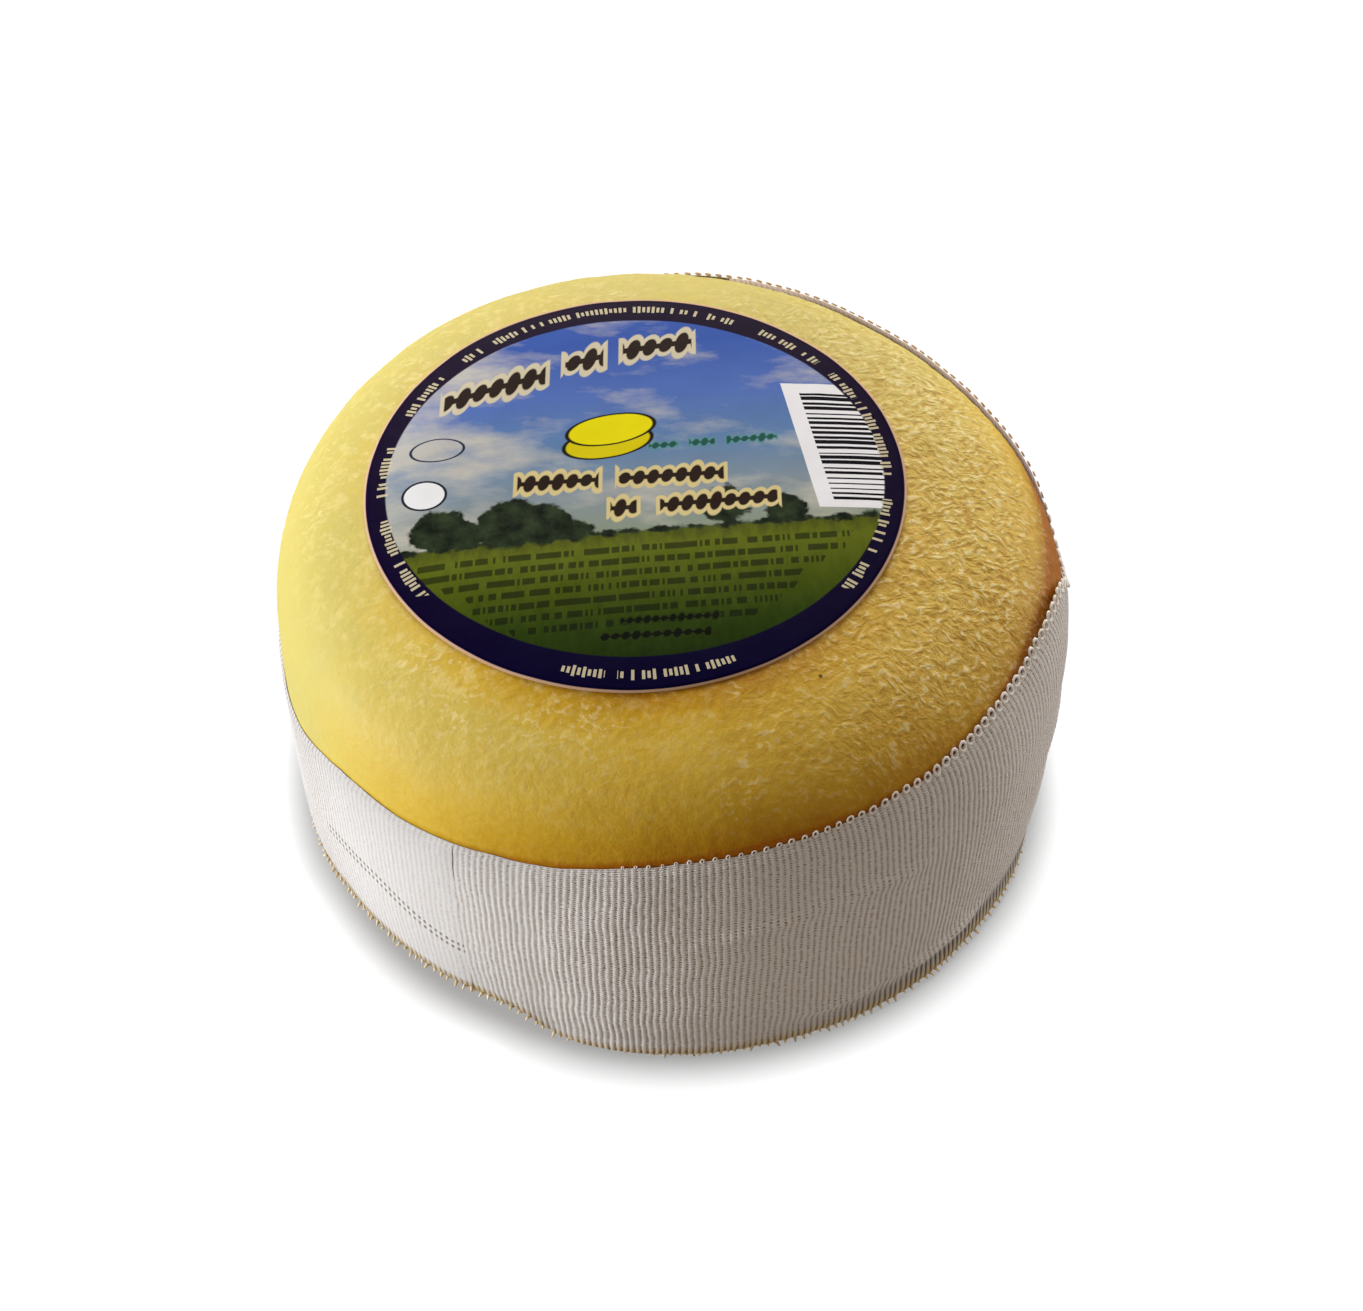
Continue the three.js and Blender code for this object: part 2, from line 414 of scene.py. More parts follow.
# Dark strokes in the furrows on the right are painted shade.
furrow_painted_shade = add(tree, "MapRange", {0: crease, 1: 0.48, 2: 0.38, 3: 0.0, 4: 0.6}).outputs[0]
furrow_painted_shade = add(tree, "Math", {0: furrow_painted_shade, 1: to_right}, operation="MULTIPLY").outputs[0]
furrow_painted_shade = add(tree, "Math", {0: furrow_painted_shade, 1: high}, operation="MULTIPLY").outputs[0]
skin = add(tree, "Mix", {0: furrow_painted_shade, 6: skin, 7: linear("#ab7a22")}, data_type="RGBA").outputs[2]
skin = add(tree, "Mix", {0: painted_glint, 6: skin, 7: linear("#f6e6ac")}, data_type="RGBA").outputs[2]
# A pinhole that a bubble left beside the label, half a millimetre across, drawn as a dark dot: painted
# shade in the hole.
from_pinhole = add(
    tree, "VectorMath", {0: seen_from_above, 1: axis + PINHOLE}, operation="DISTANCE"
).outputs["Value"]
pinhole_painted_shade = add(tree, "MapRange", {0: from_pinhole, 1: 0.2 * MM, 2: 0.4 * MM, 3: 0.85, 4: 0.0}).outputs[0]
skin = add(tree, "Mix", {0: pinhole_painted_shade, 6: skin, 7: linear("#2c1606")}, data_type="RGBA").outputs[2]
cells = add(tree, "TexVoronoi", {"Vector": bent, "Scale": PEBBLES}, feature="DISTANCE_TO_EDGE").outputs[0]
pebbled = add(tree, "Math", {0: cells, 1: 0.5, 2: crease}, operation="MULTIPLY_ADD").outputs[0]
rough = add(tree, "MapRange", {0: to_right, 1: 0.0, 2: 0.9, 3: 0.04, 4: 1.15}).outputs[0]
rough = add(tree, "Math", {0: rough, 1: high}, operation="MULTIPLY").outputs[0]
pebbled = add(tree, "Math", {0: pebbled, 1: rough}, operation="MULTIPLY").outputs[0]
relief = add(tree, "Math", {0: grain, 1: 0.3, 2: pebbled}, operation="MULTIPLY_ADD").outputs[0]
bump = add(tree, "Bump", {"Strength": 0.75, "Distance": 0.6 * MM, "Height": relief}).outputs[0]
shader = add(
    tree,
    "BsdfPrincipled",
    {
        "Base Color": skin,
        "Roughness": 0.52,
        "IOR": 1.45,
        "Specular IOR Level": 0.15,
        "Subsurface Weight": 0.25,
        "Subsurface Radius": (1.0, 0.55, 0.2),
        "Subsurface Scale": 1.5 * MM,
        "Normal": bump,
    },
)
tree.links.new(shader.outputs[0], surface.inputs[0])

wheel = finished("cheese_body", bm, waxy_rind)
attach(wheel, "root")
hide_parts("cheese_wheel")


# The gauze band: one strip of white crepe gauze bandage, stretched once round the side to hold the
# cheese's shape while it cures. Its cut end lies over its beginning at the front left, and 391 upright
# ribs go round the wheel.
LOWER_EDGE = (
    (-158, 5),
    (-146, 7.5),
    (-124, 7.5),
    (-112, 6),
    (-107, 2),
    (-90, 1.6),
    (-70, 1.8),
    (-50, 2.6),
    (-20, 3),
    (60, 2.5),
    (130, 2.5),
    (185, 4),
)
# Creases in the cloth: two ends as (turn, height), the half width and how far each stands out, in mm.
CREASES = (
    ((-86, 37), (-67, 41.5), 1.5, 0.6),
    ((-67, 41.5), (-54, 40), 1.5, 0.6),
    ((-72, 10), (-58, 11), 1.3, 0.7),
    ((-58, 11), (-38, 10.5), 1.3, 1.0),
    ((-30, 30), (-10, 36), 1.6, 0.35),
)
WHEEL_RIBS = 391
STRIP_RIBS = 415
RIB_PITCH = 360 / WHEEL_RIBS
STRIP_START = -142
STRIP_TURN = STRIP_RIBS * RIB_PITCH
OVERLAP_START = 360 + STRIP_START
COLUMNS_PER_RIB = 4
STRIP_ROWS = 54
RIB_HEIGHT = 0.24 * MM
CLOTH_LIFT = 0.5 * MM
LAYER_LIFT = 0.15 * MM
WEFT_ROWS = 96
# Half the width of the two drawn rows of holes together, as a share of the strip's width.
ROWS_REACH = 0.034
# Ribs counted from the strip's beginning: the middle and half the length of the slack stretch of the
# upper edge, and where the painted shade of the fold near the floor begins, is darkest, and ends.
SLACK_MIDDLE, SLACK_REACH = 198, 42
FOLD_BEGINS, FOLD_FULL, FOLD_FADES, FOLD_ENDS = 70, 104, 128, 142


def side_radius(height):
    """The plain side's distance from the axis at a height."""
    if height >= WIDEST_HEIGHT:
        rise = (height - WIDEST_HEIGHT) / (wheel_height - WIDEST_HEIGHT)
        return RADIUS * max(0, 1 - rise**SHOULDER_POWER) ** (1 / SHOULDER_POWER)
    drop = (WIDEST_HEIGHT - height) / WIDEST_HEIGHT
    return BASE_RADIUS + (RADIUS - BASE_RADIUS) * max(0, 1 - drop**HEEL_POWER) ** (1 / HEEL_POWER)


def on_side(turn, height, lift):
    """The point that stands lift proud of the side at a turn in degrees and a height."""
    angle = math.radians(turn)
    step = 0.05 * MM
    lean = Vector((2 * step, side_radius(height - step) - side_radius(height + step))).normalized()
    out = side_radius(height) * out_of_round(angle) - hollow(angle, height)
    lift += unevenness(Vector((out * math.cos(angle), out * math.sin(angle), height)))
    out += lift * lean.x
    return axis + Vector((out * math.cos(angle), out * math.sin(angle), height + lift * lean.y))


def edge_wander(turn, seed):
    """The unevenness of a woven edge."""
    slow = noise.noise(Vector((turn / 22, seed, 0)))
    quick = noise.noise(Vector((turn / 4.5, seed, 5)))
    return MM * (0.5 * slow + 0.25 * quick)


def strip_height(turn, share):
    """The height of the cloth at a turn in degrees and a share of its width, 0 at the lower edge."""
    top = along(TOP_EDGE, turn) + edge_wander(turn, 1)
    bottom = along(LOWER_EDGE, turn) + 0.6 * edge_wander(turn, 9)
    eased = 0.5 * share + 0.25 * (1 - math.cos(math.pi * share))
    return bottom + eased * (top - bottom)


def crease_lift(turn, height):
    """How far the creases raise the cloth."""
    lift = 0
    for start, end, half_width, rise in CREASES:
        ends = [Vector((math.radians(t) * RADIUS, h * MM)) for t, h in (start, end)]
        spot = Vector((math.radians(turn) * RADIUS, height))
        run = ends[1] - ends[0]
        share = min(1, max(0, (spot - ends[0]).dot(run) / run.dot(run)))
        away = (spot - ends[0] - share * run).length / (half_width * MM)
        fade = smooth_step(0, 0.3, share) * smooth_step(0, 0.3, 1 - share) if away < 3 else 0
        lift = max(lift, rise * MM * math.exp(-away * away) * (0.3 + 0.7 * fade))
    return lift


def strip_lift(turn, share, height):
    """How far the cloth's back stands off the rind."""
    doubled = smooth_step(OVERLAP_START - 4, OVERLAP_START + 2, turn)
    slack = noise.noise(Vector((turn / 9, share * 5, 3)))
    # The upper edge stands off where it dips at the right, and the lower part bulges at the left.
    flare = 1.3 * MM * share**8 * math.exp(-(((turn + 16) / 9) ** 2))
    flare += 1.2 * MM * (1 - share) ** 2 * math.exp(-(((turn % 360 - 200) / 13) ** 2))
    # The upper edge is slack at the back right, and the stiff hem stands straight along the front.
    slack_edge = smooth_step(4, 16, turn) * (1 - smooth_step(75, 110, turn))
    flare += 0.4 * MM * share**8 * slack_edge
    stiff_hem = smooth_step(-114, -102, turn) * (1 - smooth_step(-30, -8, turn))
    flare += 1.7 * MM * (1 - smooth_step(0, 0.15, share)) * stiff_hem
    tucked = 1 - smooth_step(0.94, 1, share) * (0.8 - 0.6 * slack_edge)
    cut = 1 - smooth_step(STRIP_START + STRIP_TURN - 2, STRIP_START + STRIP_TURN, turn)
    lift = (CLOTH_LIFT + 0.1 * MM * slack + LAYER_LIFT * doubled * (0.3 + 0.7 * cut)) * tucked
    return lift + flare + crease_lift(turn, height)


def cloth_point(turn, share):
    """The point on the cloth's face, on or between its ribs."""
    height = strip_height(turn, share)
    crest = 0.5 - 0.5 * math.cos(math.tau * (turn - STRIP_START) / RIB_PITCH)
    meander = 0.34 * noise.noise(Vector((turn / 14, height / MM / 9, 0)))
    meander += 0.16 * noise.noise(Vector((turn / 2, height / MM / 3, 7)))
    pull = 0.7 + 0.3 * noise.noise(Vector((turn / 2, height / MM / 2.5, 2)))
    if turn < 0:
        pressed_flat = smooth_step(-114, -120, turn)
    else:
        pressed_flat = smooth_step(OVERLAP_START - 14, OVERLAP_START, turn)
    pull *= (1 - 0.7 * pressed_flat) * (1 - 0.5 * smooth_step(-60, -20, turn))
    pull *= 1 - 0.8 * smooth_step(0.96, 1, share)
    lift = strip_lift(turn, share, height) + RIB_HEIGHT * crest**0.7 * pull
    return on_side(turn + meander, height, lift)


bm = bmesh.new()
bm.loops.layers.uv.new("threads")
bmesh.ops.create_grid(
    bm, x_segments=STRIP_RIBS * COLUMNS_PER_RIB, y_segments=STRIP_ROWS, size=1, calc_uvs=True
)
for vertex in bm.verts:
    turn = STRIP_START + (vertex.co.x + 1) / 2 * STRIP_TURN
    vertex.co = cloth_point(turn, (vertex.co.y + 1) / 2)
bmesh.ops.recalc_face_normals(bm, faces=bm.faces)

# Crepe gauze: matt white cotton yarn. The open valleys between the ribs and the gaps between the weft
# threads are painted darker and browner: partly the amber rind seen through them, partly painted shade.
# Weft threads cross the ribs, drawn about 0.6 mm apart, a little coarser than they are, so that they
# show. The cloth looks finely ruled and dry.
crepe_gauze, tree, surface = new_material("crepe_cotton_gauze")
woven = add(tree, "UVMap", uv_map="threads").outputs[0]
counted = add(
    tree, "VectorMath", {0: woven, 1: (STRIP_RIBS, WEFT_ROWS, 0)}, operation="MULTIPLY"
).outputs[0]
rib, weft, _ = add(tree, "SeparateXYZ", {0: counted}).outputs
rib_angle = add(tree, "Math", {0: rib, 1: math.tau}, operation="MULTIPLY").outputs[0]
rib_wave = add(tree, "Math", {0: rib_angle}, operation="COSINE").outputs[0]
valley = add(tree, "MapRange", {0: rib_wave, 1: -0.6, 2: 0.9}, interpolation_type="SMOOTHSTEP").outputs[0]
weft_angle = add(tree, "Math", {0: weft, 1: math.tau}, operation="MULTIPLY").outputs[0]
weft_wave = add(tree, "Math", {0: weft_angle}, operation="SINE").outputs[0]
gap = add(tree, "MapRange", {0: weft_wave, 1: -1.0, 2: 1.0, 3: 0.35, 4: 1.05}).outputs[0]
yarn = add(tree, "TexNoise", {"Vector": counted, "Scale": 1.2, "Detail": 4, "Roughness": 0.75}).outputs[0]
slub = add(tree, "MapRange", {0: yarn, 1: 0.3, 2: 0.7, 3: 0.1, 4: 1.7}).outputs[0]
gap = add(tree, "Math", {0: gap, 1: slub}, operation="MULTIPLY").outputs[0]
# Where the end lies over the beginning, the two layers close each other's gaps.
doubled = add(tree, "MapRange", {0: rib, 1: WHEEL_RIBS - 10, 2: WHEEL_RIBS + 4, 3: 0.9, 4: 0.5}).outputs[0]
gap = add(tree, "Math", {0: gap, 1: doubled}, operation="MULTIPLY").outputs[0]
valley_tint_and_shade = add(tree, "MapRange", {0: valley, 1: 0.0, 2: 1.0, 3: 0.2, 4: 0.95}).outputs[0]
weave_gaps_and_shade = add(tree, "Math", {0: valley_tint_and_shade, 1: gap}, operation="MULTIPLY", use_clamp=True).outputs[0]
# Two drawn rows of holes, one hole to a rib, run through the end of the strip. They are painted dark
# brown: the rind seen through them and painted shade.
width = add(tree, "SeparateXYZ", {0: woven}).outputs[1]
row_middle = add(
    tree,
    "MapRange",
    {0: rib, 1: STRIP_RIBS - 18, 2: STRIP_RIBS, 3: 0.455, 4: 0.36},
    interpolation_type="SMOOTHSTEP",
).outputs[0]
from_row = add(tree, "Math", {0: width, 1: row_middle}, operation="SUBTRACT").outputs[0]
row_wave = add(
    tree,
    "MapRange",
    {0: from_row, 1: -ROWS_REACH, 2: ROWS_REACH, 3: -math.pi, 4: 3 * math.pi},
    clamp=False,
).outputs[0]
row_wave = add(tree, "Math", {0: row_wave}, operation="COSINE").outputs[0]
rows = add(tree, "MapRange", {0: row_wave, 1: 0.0, 2: 0.6}).outputs[0]
near_row = add(tree, "Math", {0: from_row, 1: 0.0, 2: ROWS_REACH}, operation="COMPARE").outputs[0]
ending = add(tree, "Math", {0: rib, 1: WHEEL_RIBS - 7}, operation="GREATER_THAN").outputs[0]
hole_shade_and_rind = add(tree, "Math", {0: rows, 1: near_row}, operation="MULTIPLY").outputs[0]
hole_shade_and_rind = add(tree, "Math", {0: hole_shade_and_rind, 1: ending}, operation="MULTIPLY").outputs[0]
hole_shade_and_rind = add(tree, "Math", {0: hole_shade_and_rind, 1: valley}, operation="MULTIPLY").outputs[0]
cloth = add(
    tree,
    "ValToRGB",
    {0: weave_gaps_and_shade},
    stops=[(0.0, linear("#fefdfb")), (0.4, linear("#ebe3da")), (1.0, linear("#8f745a"))],
).outputs[0]
# The slack upper edge on the right is tinted tan, and a fold near the floor at the front right is
# painted dark brown, deepest in the valleys: painted shade.
back_edge_tint = add(tree, "Math", {0: rib, 1: SLACK_MIDDLE, 2: SLACK_REACH}, operation="COMPARE").outputs[0]
upper = add(tree, "MapRange", {0: width, 1: 0.88, 2: 1.0, 3: 0.0, 4: 0.6}).outputs[0]
back_edge_tint = add(tree, "Math", {0: back_edge_tint, 1: upper}, operation="MULTIPLY").outputs[0]
cloth = add(tree, "Mix", {0: back_edge_tint, 6: cloth, 7: linear("#cfa27c")}, data_type="RGBA").outputs[2]
fold_start = add(tree, "MapRange", {0: rib, 1: FOLD_BEGINS, 2: FOLD_FULL}).outputs[0]
fold_end = add(tree, "MapRange", {0: rib, 1: FOLD_ENDS, 2: FOLD_FADES}).outputs[0]
fold_width = add(tree, "MapRange", {0: width, 1: 0.17, 2: 0.1}).outputs[0]
fold_painted_shade = add(tree, "Math", {0: fold_start, 1: fold_end}, operation="MULTIPLY").outputs[0]
fold_painted_shade = add(tree, "Math", {0: fold_painted_shade, 1: fold_width}, operation="MULTIPLY").outputs[0]
shaded = add(tree, "MapRange", {0: valley, 1: 0.0, 2: 1.0, 3: 0.4, 4: 1.0}).outputs[0]
fold_painted_shade = add(tree, "Math", {0: fold_painted_shade, 1: shaded}, operation="MULTIPLY").outputs[0]
cloth = add(tree, "Mix", {0: fold_painted_shade, 6: cloth, 7: linear("#4c3b26")}, data_type="RGBA").outputs[2]
# The lower selvedge is unbleached and straw coloured, and darker in its valleys: partly the rind seen
# through, partly painted shade.
lower_hem = add(tree, "MapRange", {0: width, 1: 0.1, 2: 0.05, 3: 0.0, 4: 0.9}).outputs[0]
hem_yarn = add(
    tree, "ValToRGB", {0: valley}, stops=[(0.3, linear("#ead5a2")), (1.0, linear("#8f6c36"))]
).outputs[0]
cloth = add(tree, "Mix", {0: lower_hem, 6: cloth, 7: hem_yarn}, data_type="RGBA").outputs[2]
cloth = add(tree, "Mix", {0: hole_shade_and_rind, 6: cloth, 7: linear("#6d5a3c")}, data_type="RGBA").outputs[2]
ridged = add(tree, "Math", {0: weft_wave, 1: 0.4, 2: yarn}, operation="MULTIPLY_ADD").outputs[0]
bump = add(tree, "Bump", {"Strength": 0.7, "Distance": 0.42 * MM, "Height": ridged}).outputs[0]
shader = add(
    tree,
    "BsdfPrincipled",
    {
        "Base Color": cloth,
        "Roughness": 0.95,
        "Specular IOR Level": 0.2,
        "Sheen Weight": 0.2,
        "Sheen Roughness": 0.5,
        "Normal": bump,
    },
)
# A single slack layer lets the light behind it through.
backlit = add(tree, "BsdfTranslucent", {"Color": cloth}).outputs[0]
shader = add(tree, "MixShader", {0: back_edge_tint, 1: shader.outputs[0], 2: backlit})
tree.links.new(shader.outputs[0], surface.inputs[0])

band = finished("gauze_strip", bm, crepe_gauze)
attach(band, "root")
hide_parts("gauze_band")


# The strip's upper selvedge: the weft yarn turns back in a row of small white loops, each about as wide
# as two ribs. They stand open on the right, where the edge is slack, and shrink into it elsewhere. Their
# turns round the wheel are in degrees.
LOOP_PITCH = 1.75
FIRST_LOOP, LAST_LOOP = -96, 92
YARN_TWISTS = 1.6 / MM


def edge_frame(turn, share):
    """A matrix at the strip's edge: X along the edge, Y up across it and Z out of the cloth."""
    point = cloth_point(turn, share)
    forward = (cloth_point(turn + 1, share) - cloth_point(turn - 1, share)).normalized()
    across = cloth_point(turn, share) - cloth_point(turn, share - 0.03 if share > 0.5 else share + 0.03)
    outward = forward.cross(across if share > 0.5 else -across).normalized()
    frame_axes = Matrix((forward, outward.cross(forward), outward)).transposed().to_4x4()
    return Matrix.Translation(point) @ frame_axes


ring = bmesh.new()
section = Matrix.Translation((1, 0, 0)) @ Matrix.Rotation(math.pi / 2, 4, "X")
bmesh.ops.create_circle(ring, segments=4, radius=0.4, matrix=section)
bmesh.ops.spin(
    ring, geom=ring.verts[:] + ring.edges[:], axis=(0, 0, 1), angle=math.tau, steps=8, use_merge=True
)
bmesh.ops.recalc_face_normals(ring, faces=ring.faces)
one_loop = bpy.data.meshes.new("one_loop")
ring.to_mesh(one_loop)
ring.free()

bm = bmesh.new()
chance = random.Random(3)
for count in range(int((LAST_LOOP - FIRST_LOOP) / LOOP_PITCH)):
    turn = FIRST_LOOP + count * LOOP_PITCH
    slack = smooth_step(FIRST_LOOP, -30, turn) * (1 - 0.6 * smooth_step(0, 12, turn))
    opened = 0.3 + 0.7 * slack + chance.uniform(-0.06, 0.06)
    shape = Matrix.Diagonal((0.82 * MM * opened, 0.6 * MM * opened, 0.64 * MM * opened, 1))
    lean = Matrix.Rotation(math.radians(chance.uniform(20, 50)), 4, "Z")
    seat = Matrix.Translation((0, 0.15 * MM, (0.1 + 0.35 * slack) * MM))
    already = len(bm.verts)
    bm.from_mesh(one_loop)
    bm.verts.ensure_lookup_table()
    bmesh.ops.transform(bm, matrix=edge_frame(turn, 1) @ seat @ lean @ shape, verts=bm.verts[already:])
bpy.data.meshes.remove(one_loop)

# Bleached cotton yarn: matt white, a touch warmer than the open cloth, and tinted tan at the back
# right.
white_yarn, tree, surface = new_material("bleached_cotton_yarn")
place = add(tree, "TexCoord").outputs["Object"]
twist = add(tree, "TexNoise", {"Vector": place, "Scale": YARN_TWISTS, "Detail": 2}).outputs[0]
tone = add(
    tree, "ValToRGB", {0: twist}, stops=[(0.3, linear("#e6dccf")), (0.65, linear("#fffdf8"))]
).outputs[0]
far_side = add(tree, "SeparateXYZ", {0: place}).outputs[1]
back_edge_tint = add(tree, "MapRange", {0: far_side, 1: 2 * MM, 2: 14 * MM, 3: 0.0, 4: 0.7}).outputs[0]
tone = add(tree, "Mix", {0: back_edge_tint, 6: tone, 7: linear("#dcb28c")}, data_type="RGBA").outputs[2]
shader = add(tree, "BsdfPrincipled", {"Base Color": tone, "Roughness": 0.9, "Sheen Weight": 0.2})
tree.links.new(shader.outputs[0], surface.inputs[0])

loops = finished("selvedge_loops", bm, white_yarn)
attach(loops, "root")


# The strip's lower selvedge: a stiff unbleached edge yarn, wound round the cloth's edge, whose turns
# stick out as short blunt tips. The tips are this many degrees apart and this many mm long.
TIP_SPACINGS = (0.9, 1.5)
TIP_LENGTHS = (0.6, 1.2)
TIP_RADIUS = 0.42 * MM
EDGE_YARN_TWISTS = 1.2 / MM

bm = bmesh.new()
chance = random.Random(8)


def thread_tip(place, direction, length, radius):
    """A short tapered thread end that starts at a place and points in a direction."""
    turned_to = direction.to_track_quat("Z", "Y").to_matrix().to_4x4()
    bmesh.ops.create_cone(
        bm,
        cap_ends=True,
        segments=5,
        radius1=radius,
        radius2=radius * 0.3,
        depth=length,
        matrix=Matrix.Translation(place + direction * length * 0.4) @ turned_to,
    )


turn = STRIP_START + STRIP_TURN - 360
while turn < STRIP_START + STRIP_TURN:
    edge = edge_frame(turn, 0)
    pointing = Vector((chance.uniform(-0.5, 0.5), chance.uniform(-0.9, -0.1), 1)).normalized()
    length = chance.uniform(*TIP_LENGTHS) * MM
    thread_tip(edge.translation, edge.to_3x3() @ pointing, length, TIP_RADIUS)
    turn += chance.uniform(*TIP_SPACINGS)
for vertex in bm.verts:
    vertex.co.z = max(0, vertex.co.z)

# Unbleached cotton yarn: straw coloured and matt.
straw_yarn, tree, surface = new_material("unbleached_cotton_yarn")
place = add(tree, "TexCoord").outputs["Object"]
twist = add(tree, "TexNoise", {"Vector": place, "Scale": EDGE_YARN_TWISTS, "Detail": 2}).outputs[0]
tone = add(
    tree, "ValToRGB", {0: twist}, stops=[(0.35, linear("#dcc08a")), (0.65, linear("#fbeccb"))]
).outputs[0]
shader = add(tree, "BsdfPrincipled", {"Base Color": tone, "Roughness": 0.9, "Sheen Weight": 0.15})
tree.links.new(shader.outputs[0], surface.inputs[0])

tips = finished("thread_tips", bm, straw_yarn)
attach(tips, "root")


# The paper label: a round coated paper, glued on the domed top. Its print is a meadow under a cloudy sky
# inside a dark ring, with rows of plain ovals in place of words and a plain bar panel.
LABEL_RADIUS = 44 * MM
LABEL_RINGS, LABEL_STEPS = 44, 160
LABEL_LIFT = 0.32 * MM
PAPER_THICKNESS = 0.2 * MM


def top_height(x, y):
    """The domed top's height at a point seen from the axis."""
    share = math.hypot(x, y) / (RADIUS * out_of_round(math.atan2(y, x)))
    rise = (1 - share**SHOULDER_POWER) ** (1 / SHOULDER_POWER)
    return WIDEST_HEIGHT + (wheel_height - WIDEST_HEIGHT) * rise


rows = [LABEL_RADIUS * step / LABEL_RINGS for step in range(LABEL_RINGS + 1)]
outline = [Vector((out, 0, PAPER_THICKNESS)) for out in rows]
outline += [Vector((out, 0, 0)) for out in reversed(rows)]
bm = turned(outline, LABEL_STEPS)
printed = bm.loops.layers.uv.new("print")
for face in bm.faces:
    for loop in face.loops:
        flat = loop.vert.co / LABEL_RADIUS
        loop[printed].uv = (0.5 + flat.x / 2, 0.5 + flat.y / 2)
for vertex in bm.verts:
    spot = vertex.co + LABEL_MIDDLE
    ripple = 0.12 * MM * noise.noise(spot / MM / 8) + 0.05 * MM * noise.noise(spot / MM / 3)
    vertex.co = axis + spot + Vector((0, 0, top_height(spot.x, spot.y) + LABEL_LIFT + ripple))

# Offset-printed coated paper: even inks under a thin gloss varnish, slightly cockled by the glue. The
# print's sizes are shares of the label's radius.
printed_paper, tree, surface = new_material("coated_printed_paper")
sheet = add(tree, "UVMap", uv_map="print").outputs[0]
spot = add(tree, "VectorMath", {0: sheet, 1: (2, 2, 0), 2: (-1, -1, 0)}, operation="MULTIPLY_ADD").outputs[0]
x, y, _ = add(tree, "SeparateXYZ", {0: spot}).outputs
fine = add(tree, "TexNoise", {"Vector": spot, "Scale": 14, "Detail": 4, "Roughness": 0.6}).outputs[0]


def oval(middle, half_sizes, tilt=0):
    """How far a spot is from an oval's middle, 1 on its edge."""
    laid = add(
        tree,
        "Mapping",
        {
            "Vector": spot,
            "Location": (*middle, 0),
            "Rotation": (0, 0, math.radians(tilt)),
            "Scale": (*half_sizes, 1),
        },
        vector_type="TEXTURE",
    ).outputs[0]
    return add(tree, "VectorMath", {0: laid}, operation="LENGTH").outputs["Value"]


def word(start, end, half_height, pitch, seed):
    """How far a spot is from a row of touching ovals on a bar, which stands where a word would."""
    middle = add(
        tree, "MapRange", {0: x, 1: start[0], 2: end[0], 3: start[1], 4: end[1]}, clamp=False
    ).outputs[0]
    off = add(tree, "Math", {0: y, 1: middle}, operation="SUBTRACT").outputs[0]
    leaning = add(tree, "Math", {0: off, 1: -0.16, 2: x}, operation="MULTIPLY_ADD").outputs[0]
    beat = add(tree, "Math", {0: leaning, 1: 1 / pitch, 2: seed}, operation="MULTIPLY_ADD").outputs[0]
    number = add(tree, "Math", {0: beat}, operation="FLOOR").outputs[0]
    chosen = add(tree, "TexWhiteNoise", {"W": number}, noise_dimensions="1D").outputs[0]
    tall = add(tree, "MapRange", {0: chosen, 3: 0.6 * half_height, 4: half_height}).outputs[0]
    along_oval = add(tree, "Math", {0: beat}, operation="FRACT").outputs[0]
    along_oval = add(tree, "Math", {0: along_oval, 1: 2.2, 2: -1.1}, operation="MULTIPLY_ADD").outputs[0]
    up_oval = add(tree, "Math", {0: off, 1: tall}, operation="DIVIDE").outputs[0]
    from_oval = add(tree, "CombineXYZ", {0: along_oval, 1: up_oval}).outputs[0]
    from_oval = add(tree, "VectorMath", {0: from_oval}, operation="LENGTH").outputs["Value"]
    away = add(
        tree, "Math", {0: from_oval, 1: 0.5 * pitch, 2: -0.5 * pitch}, operation="MULTIPLY_ADD"
    ).outputs[0]
    from_bar = add(tree, "Math", {0: off}, operation="ABSOLUTE").outputs[0]
    from_bar = add(tree, "Math", {0: from_bar, 1: 0.25 * half_height}, operation="SUBTRACT").outputs[0]
    away = add(tree, "Math", {0: away, 1: from_bar}, operation="MINIMUM").outputs[0]
    before = add(tree, "Math", {0: start[0], 1: x}, operation="SUBTRACT").outputs[0]
    after = add(tree, "Math", {0: x, 1: end[0]}, operation="SUBTRACT").outputs[0]
    for limit in (before, after):
        away = add(tree, "Math", {0: away, 1: limit}, operation="MAXIMUM").outputs[0]
    return away


# The sky, pale at the horizon and deep blue above, with drifting clouds that gather on the left.
level = add(tree, "Math", {0: x, 1: -0.093, 2: y}, operation="MULTIPLY_ADD").outputs[0]
level = add(tree, "Math", {0: level, 1: 0.281}, operation="ADD").outputs[0]
colour = add(
    tree,
    "ValToRGB",
    {0: level},
    stops=[
        (0.0, linear("#8f9a86")),
        (0.2, linear("#8796a0")),
        (0.42, linear("#6486ae")),
        (0.7, linear("#5573bb")),
        (1.0, linear("#3c5cae")),
    ],
).outputs[0]
drift = add(tree, "VectorMath", {0: spot, 1: (1, 2.3, 1)}, operation="MULTIPLY").outputs[0]
cloud = add(tree, "TexNoise", {"Vector": drift, "Scale": 1.9, "Detail": 6, "Roughness": 0.58}).outputs[0]
on_left = add(tree, "MapRange", {0: x, 1: -0.35, 2: -0.75, 3: 0.0, 4: 0.16}).outputs[0]
cloud = add(tree, "Math", {0: cloud, 1: on_left}, operation="ADD").outputs[0]
cloud = add(tree, "MapRange", {0: cloud, 1: 0.5, 2: 0.72, 3: 0.0, 4: 0.85}).outputs[0]
colour = add(tree, "Mix", {0: cloud, 6: colour, 7: linear("#cdc8ba")}, data_type="RGBA").outputs[2]
